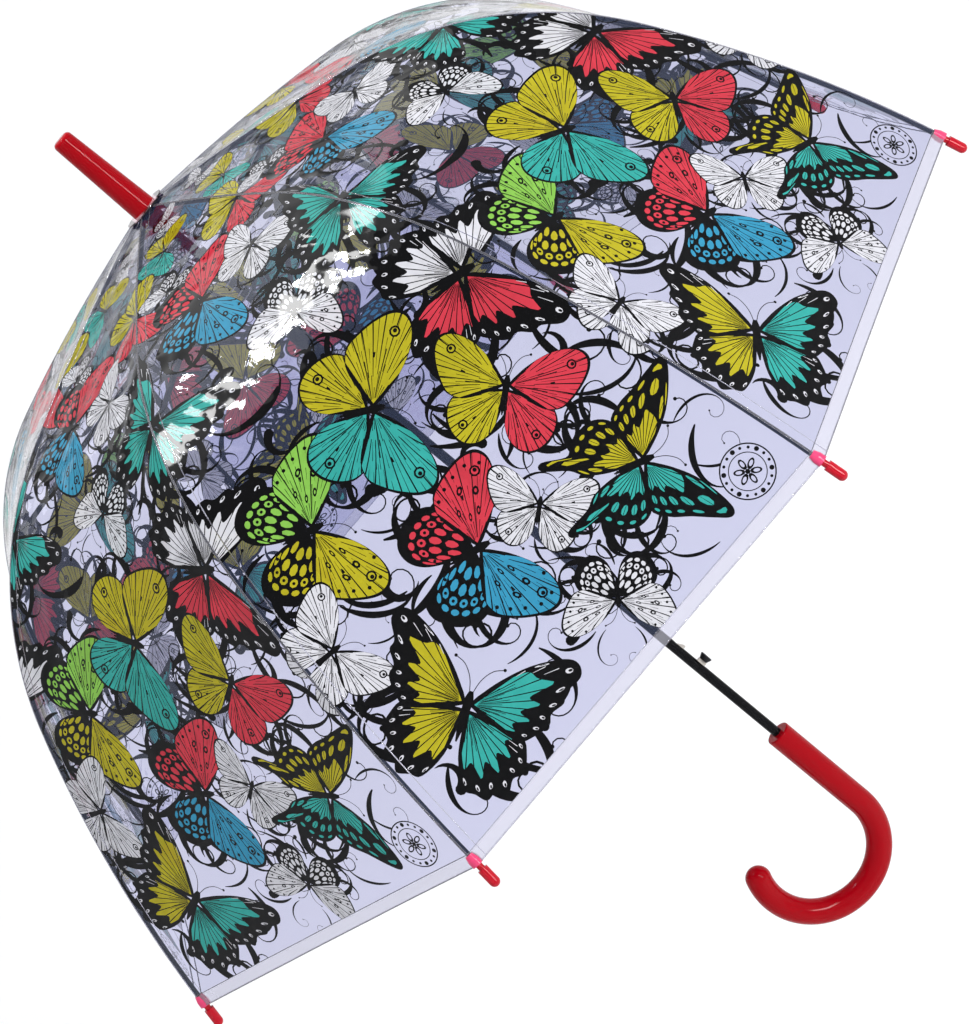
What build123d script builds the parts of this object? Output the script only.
"""Clear bubble umbrella: an automatic stick umbrella with eight ribs and a deep dome.

Millimetres. The shaft stands on the Z axis with the ferrule on top; the origin is on the shaft's
axis, level with the lowest point of the hooked handle. The button faces +X and the hook turns to -X.
The umbrella is drawn fully open.
"""
from build123d import *
from math import atan2, cos, degrees, hypot, radians, sin
import os

os.makedirs("parts", exist_ok=True)

# ---------------------------------------------------------------- driving dimensions
rib_count = 8
rib_step = 360 / rib_count
first_rib_azimuth = rib_step / 2

crown_height = 770.0  # height of the canopy's top above the lowest point of the hook

# shaft: a thin steel tube from inside the handle to inside the ferrule
shaft_radius = 3.75
shaft_wall = 0.7
shaft_in_handle = 60.0
shaft_in_ferrule = 44.0

# handle: a round bar, straight and then a hook
handle_radius = 10.2
handle_straight = 88.0
handle_rim_round = 1.2
hook_radius = 50.0
hook_sweep = 205.0

# ferrule on top of the canopy
ferrule_length = 74.0
ferrule_base_radius = 9.9
ferrule_tip_radius = 7.8
ferrule_end_round = 3.6
ferrule_foot = 1.3  # how far it reaches below the canopy's top

# rib: three tangent arcs that start at the crown pivot
rib_pivot_radius = 12.0
rib_pivot_drop = 4.6
rib_start_slope = 9.0
rib_arcs = ((1600.0, 6.3), (250.0, 45.2), (890.0, 14.2))  # radius and sweep of each arc
rib_rod_radius = 1.6
rib_flex_at = 246.0  # length along the rib where it bends most as it folds
rib_flex_gap = 1.7
bracket_at = 235.0  # length along the rib of the stretcher's bracket
bracket_drop = 4.0  # stretcher pivot below the rib's centre line

# runners on the shaft
upper_runner_drop = 62.0
lower_runner_drop = 132.0
runner_pivot_radius = 12.5
runner_clearance = 0.06
runner_sleeve_radius = 6.2
runner_flange_radius = 15.5
runner_flange_thickness = 5.0
runner_collar = 2.0  # how far the upper runner's sleeve stands below its flange
runner_lip = 1.5  # how far the lower runner's sleeve stands above its flange
upper_sleeve_length = 16.0
lower_sleeve_length = 40.0
finger_rim_height = 3.0
finger_rim_step = 1.4
catch_window_rise = 8.4  # the catch window's foot above the sleeve's foot
catch_window_play = 2.6
catch_window_side_play = 0.7

# folding members
arm_joint_on_stretcher = 62.4  # from the upper runner's pivot
member_thickness = 2.0
stretcher_height = 3.4
push_arm_height = 3.0
member_side_offset = 3.1  # sideways from the rib's plane, stretcher one way and push arm the other
slot_side_gap = 0.3
pin_radius = 0.6
pin_clearance = 0.06
pin_seat = 0.4  # how far a hinge wire is let into each side of its notch
notch_length = 30.0  # longer than any notch, so that it opens at the rim
notch_height = 16.0
crown_notch_gap = 0.6  # room behind an eye
runner_notch_gap = 0.5
arm_notch_gap = 0.4  # room behind a member that only passes through
arm_notch_extra_width = 0.2
eye_radius = 2.0
rivet_radius = 1.0
rivet_gap = 0.3
clip_extra_height = 0.4

# canopy film
film_thickness = 0.3
film_above_rod = 0.35
film_seam_gap = 0.3  # half the gap between two gores over a rib
film_crown_radius = 15.5  # on the ribs, where the gores end under the collar
hem_corner_relief = 5.6
hem_relief_behind = 1.0  # the relief starts this far behind the tip's collar
hem_relief_length = 16.6
gore_trim_margin = 10.0  # extra width before a gore is trimmed along its ribs

# rib tips
tip_collar_radius = 4.0
tip_collar_back_radius = 2.9
tip_collar_length = 8.4
tip_neck_radius = 2.3
tip_bore_radius = rib_rod_radius + 0.06
tip_neck_length = 3.4
tip_cap_radius = 3.6
tip_cap_length = 14.4

# latch and release button
latch_nose_drop = 520.0  # the nose's stop face, below the crown
latch_nose_length = 9.0
latch_nose_reach = 2.3
button_drop = 538.0
button_stem_length = 7.4
button_stem_reach = 2.5
button_cap_height = 4.6
button_cap_rim = 0.2  # share of the cap's height that is straight
button_edge_round = 0.7
latch_width = 2.2
lever_overhang = 3.0  # how far the lever runs past the stem and past the nose

# ---------------------------------------------------------------- positions that follow from them
hook_centre_z = hook_radius + handle_radius
handle_top_z = hook_centre_z + handle_straight
shaft_bottom_z = handle_top_z - shaft_in_handle
shaft_top_z = crown_height + shaft_in_ferrule
shaft_bore = shaft_radius - shaft_wall
upper_runner_z = crown_height - upper_runner_drop
lower_runner_z = crown_height - lower_runner_drop
rib_length = sum(radius * radians(sweep) for radius, sweep in rib_arcs)


def rib_azimuth(index):
    return first_rib_azimuth + rib_step * index


def upright_plane(azimuth, sideways=0.0):
    """Upright plane at an azimuth: local X points outward from the shaft and local Y points up.

    sideways moves it along the anticlockwise tangent; extruding goes the clockwise way.
    """
    a = radians(azimuth)
    tangent = Vector(-sin(a), cos(a), 0)
    return Plane(origin=tangent * sideways, x_dir=(cos(a), sin(a), 0), z_dir=-tangent)


def rib_pieces(start, end):
    """The rib's arcs between two lengths, each as (start point, slope in degrees, radius, sweep)."""
    x, y = rib_pivot_radius, crown_height - rib_pivot_drop
    slope = rib_start_slope
    travelled = 0.0
    pieces = []
    for radius, sweep in rib_arcs:
        length = radius * radians(sweep)
        low = max(start - travelled, 0.0)
        high = min(end - travelled, length)
        if high > low:
            first = slope + degrees(low / radius)
            begin = arc_point(x, y, slope, radius, low)
            pieces.append((begin, first, radius, degrees((high - low) / radius)))
        x, y = arc_point(x, y, slope, radius, length)
        slope += sweep
        travelled += length
    return pieces


def arc_point(x, y, slope, radius, length):
    """The point a length along an arc that starts at (x, y) and bends downward."""
    centre_x = x - radius * sin(radians(slope))
    centre_y = y - radius * cos(radians(slope))
    turned = radians(slope) + length / radius
    return centre_x + radius * sin(turned), centre_y + radius * cos(turned)


def rib_point(length, inward=0.0):
    """Point on the rib's centre line, or below it by inward, and the slope there in degrees."""
    (x, y), slope, radius, sweep = rib_pieces(0, max(length, 0.001))[-1]
    x, y = arc_point(x, y, slope, radius, radius * radians(sweep))
    slope += sweep
    return (x - inward * sin(radians(slope)), y - inward * cos(radians(slope))), slope


def rib_line(start, end):
    """Draws the rib's centre line between two lengths, inside a BuildLine."""
    for (x, y), slope, radius, sweep in rib_pieces(start, end):
        heading = (cos(radians(slope)), -sin(radians(slope)))
        JernArc(start=(x, y), tangent=heading, radius=radius, arc_size=-sweep)


def save(part, name):
    part.label = name
    export_step(part, f"parts/{name}.step")


def distance(a, b):
    return hypot(b[0] - a[0], b[1] - a[1])


def direction(a, b):
    """Angle of the line from a to b above the horizontal, in degrees."""
    return degrees(atan2(b[1] - a[1], b[0] - a[0]))


upper_pivot = (runner_pivot_radius, upper_runner_z)
lower_pivot = (runner_pivot_radius, lower_runner_z)
bracket_pivot = rib_point(bracket_at, bracket_drop)[0]
stretcher_angle = direction(upper_pivot, bracket_pivot)
arm_joint = (
    upper_pivot[0] + arm_joint_on_stretcher * cos(radians(stretcher_angle)),
    upper_pivot[1] + arm_joint_on_stretcher * sin(radians(stretcher_angle)),
)

# ---------------------------------------------------------------- shaft
nose_top_z = crown_height - latch_nose_drop + latch_nose_length
nose_bottom_z = crown_height - latch_nose_drop
button_z = crown_height - button_drop
slot_play = 0.3

with BuildPart() as shaft:
    with BuildSketch(Plane.XY.offset(shaft_bottom_z)):
        Circle(shaft_radius)
        Circle(shaft_bore, mode=Mode.SUBTRACT)
    extrude(amount=shaft_top_z - shaft_bottom_z)
    # windows for the latch nose and the button's stem, in the +X wall
    for low, high in (
        (nose_bottom_z - slot_play, nose_top_z + slot_play),
        (button_z - button_stem_length / 2 - slot_play, button_z + button_stem_length / 2 + slot_play),
    ):
        with BuildSketch(Plane.YZ):
            with Locations((0, (low + high) / 2)):
                Rectangle(latch_width + 2 * slot_play, high - low)
        extrude(amount=2 * shaft_radius, mode=Mode.SUBTRACT)
save(shaft.part, "shaft")

# ---------------------------------------------------------------- handle
with BuildPart() as handle:
    with BuildLine(Plane.XZ) as handle_line:
        straight = Line((0, handle_top_z), (0, hook_centre_z))
        hook = JernArc(straight @ 1, straight % 1, hook_radius, -hook_sweep)
    with BuildSketch(Plane.XY.offset(handle_top_z)):
        Circle(handle_radius)
    sweep(path=handle_line.line)
    # rounded end of the hook
    with Locations(hook @ 1):
        Sphere(handle_radius)
    # softened top rim
    fillet(handle.edges().group_by(Axis.Z)[-1], handle_rim_round)
    # socket for the shaft
    with BuildSketch(Plane.XY.offset(handle_top_z)):
        Circle(shaft_radius)
    extrude(amount=-shaft_in_handle, mode=Mode.SUBTRACT)
save(handle.part, "handle")

# ---------------------------------------------------------------- ferrule
ferrule_bottom_z = crown_height - ferrule_foot
ferrule_top_z = crown_height + ferrule_length

with BuildPart() as ferrule:
    with BuildSketch(Plane.XZ):
        with BuildLine():
            Polyline(
                (0, ferrule_bottom_z),
                (ferrule_base_radius, ferrule_bottom_z),
                (ferrule_tip_radius, ferrule_top_z),
                (0, ferrule_top_z),
                close=True,
            )
        make_face()
    revolve(axis=Axis.Z)
    fillet(ferrule.edges().group_by(Axis.Z)[-1], ferrule_end_round)
    with BuildSketch(Plane.XY.offset(ferrule_bottom_z)):
        Circle(shaft_radius)
    extrude(amount=shaft_top_z - ferrule_bottom_z, mode=Mode.SUBTRACT)
save(ferrule.part, "ferrule")

# ---------------------------------------------------------------- crown: notched ring for the ribs
crown_flange_radius = 14.0
crown_boss_radius = 7.0
crown_boss_length = 16.0
crown_flange_thickness = 4.6
rib_pivot_z = crown_height - rib_pivot_drop
rib_pivot = (rib_pivot_radius, rib_pivot_z)
crown_flange_z = rib_pivot_z - crown_flange_thickness / 2


def cut_notches(pivot_z, sideways, width, bottom_radius):
    """Cuts a ring's notches, one for each rib, inside a BuildPart."""
    for index in range(rib_count):
        with BuildSketch(upright_plane(rib_azimuth(index), sideways + width / 2)) as notch:
            with Locations((bottom_radius, pivot_z)):
                Rectangle(notch_length, notch_height, align=(Align.MIN, Align.CENTER))
        extrude(notch.sketch, amount=width, mode=Mode.SUBTRACT)


def add_notch_pins(pivot_radius, pivot_z, sideways, width):
    """Adds the wire that crosses each notch, inside a BuildPart."""
    for index in range(rib_count):
        with BuildSketch(upright_plane(rib_azimuth(index), sideways + width / 2 + pin_seat)) as pin:
            with Locations((pivot_radius, pivot_z)):
                Circle(pin_radius)
        extrude(pin.sketch, amount=width + 2 * pin_seat)


notch_width = member_thickness + 2 * slot_side_gap

with BuildPart() as crown:
    with BuildSketch(Plane.XY.offset(crown_flange_z)):
        Circle(crown_flange_radius)
    extrude(amount=crown_flange_thickness)
    with BuildSketch(Plane.XY.offset(crown_flange_z)):
        Circle(crown_boss_radius)
    extrude(amount=-crown_boss_length)
    cut_notches(rib_pivot_z, 0, notch_width, rib_pivot_radius - eye_radius - crown_notch_gap)
    add_notch_pins(rib_pivot_radius, rib_pivot_z, 0, notch_width)
    with BuildSketch(Plane.XY.offset(crown_height)):
        Circle(shaft_radius)
    extrude(amount=-(rib_pivot_drop + crown_flange_thickness + crown_boss_length), mode=Mode.SUBTRACT)
save(crown.part, "crown")

# ---------------------------------------------------------------- clear collar between film and ferrule
collar_radius = 17.0
collar_thickness = 0.8
collar_gap = 0.05
with BuildPart() as film_collar:
    with BuildSketch(Plane.XY.offset(ferrule_bottom_z - collar_thickness - collar_gap)):
        Circle(collar_radius)
        Circle(shaft_radius, mode=Mode.SUBTRACT)
    extrude(amount=collar_thickness)
save(film_collar.part, "film_collar")

# ---------------------------------------------------------------- runners
# the upper runner holds the stretchers; the lower one holds the push arms and has the catch window
side_notch = member_side_offset
notch_floor = runner_pivot_radius - eye_radius - runner_notch_gap
arm_notch_floor = runner_pivot_radius - eye_radius - arm_notch_gap
spring_wire = 1.0
spring_radius = 5.3


def runner_blank(pivot_z, sleeve_low, sleeve_high):
    """Sleeve and flange of a runner, inside a BuildPart."""
    with BuildSketch(Plane.XY.offset(sleeve_low)) as sleeve:
        Circle(runner_sleeve_radius)
    extrude(sleeve.sketch, amount=sleeve_high - sleeve_low)
    with BuildSketch(Plane.XY.offset(pivot_z - runner_flange_thickness / 2)) as flange:
        Circle(runner_flange_radius)
    extrude(flange.sketch, amount=runner_flange_thickness)


def runner_bore(sleeve_low, sleeve_high):
    with BuildSketch(Plane.XY.offset(sleeve_low)) as bore:
        Circle(shaft_radius + runner_clearance)
    extrude(bore.sketch, amount=sleeve_high - sleeve_low, mode=Mode.SUBTRACT)


with BuildPart() as upper_runner:
    upper_low = upper_runner_z - runner_flange_thickness / 2 - runner_collar
    upper_high = upper_low + upper_sleeve_length
    runner_blank(upper_runner_z, upper_low, upper_high)
    cut_notches(upper_runner_z, side_notch, notch_width, notch_floor)
    cut_notches(upper_runner_z, -side_notch, notch_width + arm_notch_extra_width, arm_notch_floor)
    add_notch_pins(runner_pivot_radius, upper_runner_z, side_notch, notch_width)
    runner_bore(upper_low, upper_high)
save(upper_runner.part, "upper_runner")

window_low = lower_runner_z - lower_sleeve_length + catch_window_rise
window_high = window_low + latch_nose_length + catch_window_play

with BuildPart() as lower_runner:
    lower_low = lower_runner_z - lower_sleeve_length
    lower_high = lower_runner_z + runner_flange_thickness / 2 + runner_lip
    runner_blank(lower_runner_z, lower_low, lower_high)
    cut_notches(lower_runner_z, -side_notch, notch_width, notch_floor)
    add_notch_pins(runner_pivot_radius, lower_runner_z, -side_notch, notch_width)
    runner_bore(lower_low, lower_high)
    # finger rim at the foot of the sleeve
    with BuildSketch(Plane.XY.offset(lower_low)):
        Circle(runner_sleeve_radius + finger_rim_step)
        Circle(shaft_radius + runner_clearance, mode=Mode.SUBTRACT)
    extrude(amount=finger_rim_height)
    # catch window that drops over the latch nose when the umbrella is closed
    with BuildSketch(Plane.YZ):
        with Locations((0, (window_low + window_high) / 2)):
            Rectangle(latch_width + 2 * catch_window_side_play, window_high - window_low)
    extrude(amount=2 * runner_sleeve_radius, mode=Mode.SUBTRACT)
save(lower_runner.part, "lower_runner")

# ---------------------------------------------------------------- opening spring between the runners
spring_gap = 0.1
spring_low = lower_high + spring_wire / 2 + spring_gap
spring_high = upper_low - spring_wire / 2 - spring_gap
spring_turns = 11

with BuildPart() as opening_spring:
    with BuildLine() as coil:
        Helix(
            pitch=(spring_high - spring_low) / spring_turns,
            height=spring_high - spring_low,
            radius=spring_radius,
            center=(0, 0, spring_low),
        )
    with BuildSketch(Plane(origin=coil.line @ 0, z_dir=coil.line % 0)):
        Circle(spring_wire / 2)
    sweep()
save(opening_spring.part, "opening_spring")

# ---------------------------------------------------------------- latch: a lever with nose and stem
lever_back = 0.4
lever_front = 2.3
lever_low = button_z - button_stem_length / 2 - lever_overhang
lever_high = nose_top_z + lever_overhang
nose_edge_height = 1.6
button_face = shaft_radius + button_stem_reach

with BuildPart() as latch_lever:
    with BuildSketch(Plane.XZ.offset(-latch_width / 2)):
        with BuildLine():
            Polyline(
                (lever_back, lever_low),
                (lever_front, lever_low),
                (lever_front, button_z - button_stem_length / 2),
                (button_face, button_z - button_stem_length / 2),
                (button_face, button_z + button_stem_length / 2),
                (lever_front, button_z + button_stem_length / 2),
                (lever_front, nose_bottom_z),
                (shaft_radius + latch_nose_reach, nose_bottom_z),
                (shaft_radius + latch_nose_reach, nose_bottom_z + nose_edge_height),
                (lever_front, nose_top_z),
                (lever_front, lever_high),
                (lever_back, lever_high),
                close=True,
            )
        make_face()
    extrude(amount=latch_width)
save(latch_lever.part, "latch_lever")

cap_foot_radius = 3.3
cap_face_radius = 4.9
cap_rim_x = button_face + button_cap_height * (1 - button_cap_rim)
with BuildPart() as release_button:
    with BuildSketch(Plane.YZ.offset(button_face)):
        with Locations((0, button_z)):
            Circle(cap_foot_radius)
    with BuildSketch(Plane.YZ.offset(cap_rim_x)):
        with Locations((0, button_z)):
            Circle(cap_face_radius)
    loft()
    with BuildSketch(Plane.YZ.offset(cap_rim_x)):
        with Locations((0, button_z)):
            Circle(cap_face_radius)
    extrude(amount=button_cap_height * button_cap_rim)
    fillet(release_button.edges().group_by(Axis.X)[-1], button_edge_round)
save(release_button.part, "release_button")

# leaf spring behind the lever, bowed off the shaft's far wall
leaf_width = 2.0
leaf_thickness = 0.25
leaf_half_length = 13.0
leaf_middle_z = (lever_low + lever_high) / 2
leaf_back = -2.75
leaf_gap = 0.05
leaf_front = lever_back - leaf_gap

with BuildPart() as latch_spring:
    with BuildSketch(Plane.XZ.offset(-leaf_width / 2)):
        with BuildLine():
            outer = ThreePointArc(
                (leaf_back, leaf_middle_z - leaf_half_length),
                (leaf_front, leaf_middle_z),
                (leaf_back, leaf_middle_z + leaf_half_length),
            )
            top_end = Line(outer @ 1, (leaf_back - leaf_thickness, leaf_middle_z + leaf_half_length))
            inner = ThreePointArc(
                top_end @ 1,
                (leaf_front - leaf_thickness, leaf_middle_z),
                (leaf_back - leaf_thickness, leaf_middle_z - leaf_half_length),
            )
            Line(inner @ 1, outer @ 0)
        make_face()
    extrude(amount=leaf_width)
save(latch_spring.part, "latch_spring")

# ---------------------------------------------------------------- folding frame, one set for each rib
# each rib is one sprung rod; it is cut where it bends most, so that it can fold
rib_rod_start = 5.0
rib_root = rib_point(rib_rod_start)[0]
rib_end, rib_end_slope = rib_point(rib_length)
bracket_half_length = 4.0
bracket_half_width = rib_rod_radius + 0.2
clip_drop = 1.0  # the clip hugs the rod's lower side, clear of the film
clip_ends = [
    rib_point(bracket_at - bracket_half_length, clip_drop)[0],
    rib_point(bracket_at + bracket_half_length, clip_drop)[0],
]
clip_height = 2 * rib_rod_radius + clip_extra_height
clip_middle = rib_point(bracket_at, clip_drop)[0]


def rod(azimuth, start, end):
    """The rib's round rod between two lengths, inside a BuildPart."""
    with BuildLine(upright_plane(azimuth)) as line:
        rib_line(start, end)
    with BuildSketch(Plane(origin=line.line @ 0, z_dir=line.line % 0)) as section:
        Circle(rib_rod_radius)
    sweep(section.sketch, path=line.line)


def bar(a, b, width):
    """Round-ended bar from a to b, inside a BuildSketch."""
    with Locations(((a[0] + b[0]) / 2, (a[1] + b[1]) / 2)):
        SlotCenterToCenter(distance(a, b), width, rotation=direction(a, b))


def eye(centre, hole=True):
    """Round eye for a hinge wire, inside a BuildSketch."""
    with Locations(centre):
        Circle(eye_radius)
        if hole:
            Circle(pin_radius + pin_clearance, mode=Mode.SUBTRACT)


def outward_heading(plane, slope):
    """Direction in an upright plane that runs outward and down by a slope in degrees."""
    return plane.x_dir * cos(radians(slope)) - Vector(0, 0, sin(radians(slope)))


for index in range(rib_count):
    azimuth = rib_azimuth(index)
    number = index + 1
    rib_plane = upright_plane(azimuth)

    with BuildPart() as rib_upper:
        rod(azimuth, rib_rod_start, rib_flex_at - rib_flex_gap / 2)
        # flattened eye on the crown's wire
        with BuildSketch(upright_plane(azimuth, member_thickness / 2)):
            bar(rib_pivot, rib_root, 2 * rib_rod_radius)
            eye(rib_pivot)
        extrude(amount=member_thickness)
        # clip with the stretcher's pivot
        with BuildSketch(upright_plane(azimuth, bracket_half_width)):
            bar(*clip_ends, clip_height)
            bar(clip_middle, bracket_pivot, clip_height)
        extrude(amount=2 * bracket_half_width)
    save(rib_upper.part, f"rib_upper_{number}")

    with BuildPart() as rib_lower:
        rod(azimuth, rib_flex_at + rib_flex_gap / 2, rib_length)
    save(rib_lower.part, f"rib_lower_{number}")

    # tip: collar inside the hem, neck and round-ended cap, turned about the rib's end
    tip_heading = outward_heading(rib_plane, rib_end_slope)
    tip_origin = rib_plane.from_local_coords(Vector(rib_end[0], rib_end[1], 0))
    cap_start = tip_neck_length
    cap_end = cap_start + tip_cap_length
    with BuildPart() as rib_tip:
        with BuildSketch(Plane(origin=tip_origin, x_dir=tip_heading, z_dir=rib_plane.z_dir)):
            with BuildLine():
                profile = Polyline(
                    (0, 0),
                    (0, tip_bore_radius),
                    (-tip_collar_length, tip_bore_radius),
                    (-tip_collar_length, tip_collar_back_radius),
                    (-tip_collar_length / 2, tip_collar_radius),
                    (0, tip_collar_radius),
                    (0, tip_neck_radius),
                    (cap_start, tip_neck_radius),
                    (cap_start, tip_cap_radius),
                    (cap_end - tip_cap_radius, tip_cap_radius),
                )
                dome = JernArc(profile @ 1, profile % 1, tip_cap_radius, -90)
                Line(dome @ 1, (0, 0))
            make_face()
        revolve(axis=Axis(tip_origin, tip_heading))
    save(rib_tip.part, f"rib_tip_{number}")

    with BuildPart() as stretcher:
        with BuildSketch(upright_plane(azimuth, member_side_offset + member_thickness / 2)):
            bar(upper_pivot, bracket_pivot, stretcher_height)
            eye(upper_pivot)
            eye(bracket_pivot, hole=False)
        extrude(amount=member_thickness)
        # rivet that reaches across to the push arm
        with BuildSketch(upright_plane(azimuth, member_side_offset)):
            with Locations(arm_joint):
                Circle(rivet_radius)
        extrude(amount=2 * member_side_offset - member_thickness / 2 - rivet_gap)
    save(stretcher.part, f"stretcher_{number}")

    with BuildPart() as push_arm:
        with BuildSketch(upright_plane(azimuth, -member_side_offset + member_thickness / 2)):
            bar(lower_pivot, arm_joint, push_arm_height)
            eye(lower_pivot)
            eye(arm_joint, hole=False)
        extrude(amount=member_thickness)
    save(push_arm.part, f"push_arm_{number}")

# ---------------------------------------------------------------- canopy: eight gores of clear film
# each gore is a sheet that bends one way only, stretched straight across from rib to rib
gore_profile_points = 13
film_offset = rib_rod_radius + film_above_rod
half_gore = rib_step / 2
crown_start = film_crown_radius - rib_pivot_radius
gore_half_width = rib_end[0] * sin(radians(half_gore)) + gore_trim_margin


def gore_profile(offset):
    """Points of the sheet's middle line, lifted off the rib's centre line, from crown to hem."""
    points = []
    for step in range(gore_profile_points):
        length = crown_start + (rib_length - crown_start) * step / (gore_profile_points - 1)
        (x, z), slope = rib_point(length)
        run = cos(radians(slope)) * cos(radians(half_gore))
        sheet_slope = direction((0, 0), (run, sin(radians(slope))))
        lift_x = offset * sin(radians(sheet_slope))
        lift_z = offset * cos(radians(sheet_slope))
        points.append((x * cos(radians(half_gore)) + lift_x, z + lift_z))
    return points


for index in range(rib_count):
    azimuth = rib_azimuth(index)
    with BuildPart() as canopy_gore:
        with BuildSketch(upright_plane(azimuth + half_gore)):
            with BuildLine():
                inside = Spline(*gore_profile(film_offset))
                outside = Spline(*gore_profile(film_offset + film_thickness))
                Line(inside @ 0, outside @ 0)
                Line(inside @ 1, outside @ 1)
            make_face()
        extrude(amount=gore_half_width, both=True)
        # edges along the two ribs
        split(bisect_by=upright_plane(azimuth, film_seam_gap), keep=Keep.BOTTOM)
        split(bisect_by=upright_plane(azimuth + rib_step, -film_seam_gap), keep=Keep.TOP)
        # corners relieved around the rib tips
        for side in (azimuth, azimuth + rib_step):
            corner_plane = upright_plane(side)
            heading = outward_heading(corner_plane, rib_end_slope)
            corner = corner_plane.from_local_coords(Vector(rib_end[0], rib_end[1], 0))
            relief_start = corner - heading * (tip_collar_length + hem_relief_behind)
            with BuildSketch(Plane(origin=relief_start, z_dir=heading)):
                Circle(hem_corner_relief)
            extrude(amount=hem_relief_length, mode=Mode.SUBTRACT)
    save(canopy_gore.part, f"canopy_gore_{index + 1}")
